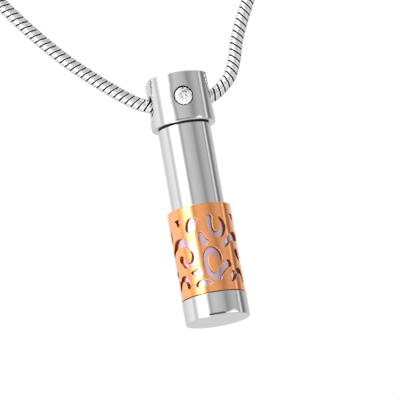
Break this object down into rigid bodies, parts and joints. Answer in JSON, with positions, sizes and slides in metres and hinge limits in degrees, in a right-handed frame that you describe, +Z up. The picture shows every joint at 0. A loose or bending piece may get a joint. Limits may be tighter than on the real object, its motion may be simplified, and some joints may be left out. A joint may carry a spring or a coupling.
{
  "type": "keepsake urn pendant on a snake chain",
  "caption": "Slim steel cylinder pendant with a screw cap, a small round stone and a pierced rose gold scroll sleeve, on a round snake chain.",
  "frame": {"origin": "the place at the nape, under the middle of the clasp, that bears on the neck", "axes": "+Z up along the hanging pendant, -Y the way the stone faces, +X along the chain through the cap"},
  "size_m": [0.1297, 0.0107, 0.2305],
  "materials": {
    "polished_steel": "mirror polished stainless steel",
    "chain_steel": "polished stainless steel links with dark gaps",
    "rose_gold": "polished rose gold plate",
    "clear_stone": "clear faceted crystal",
    "seal_rubber": "matt black"
  },
  "bodies": {
    "necklace": {"chain": "chain_steel", "clasp": "polished_steel"},
    "pendant": {"cap": "polished_steel", "seal": "seal_rubber", "stone": "clear_stone"},
    "urn": {"urn_tube": "polished_steel", "filigree_sleeve": "rose_gold"}
  },
  "joints": [
    {"name": "pendant_swing", "type": "hinge", "parent": "necklace", "child": "pendant", "pos_m": [0, 0, -0.1902], "axis": [1, 0, 0], "range_deg": [-90, 90]},
    {"name": "urn_draw", "type": "slide", "parent": "pendant", "child": "urn", "axis": [0, 0, -1], "range_m": [0, 0.01]}
  ]
}
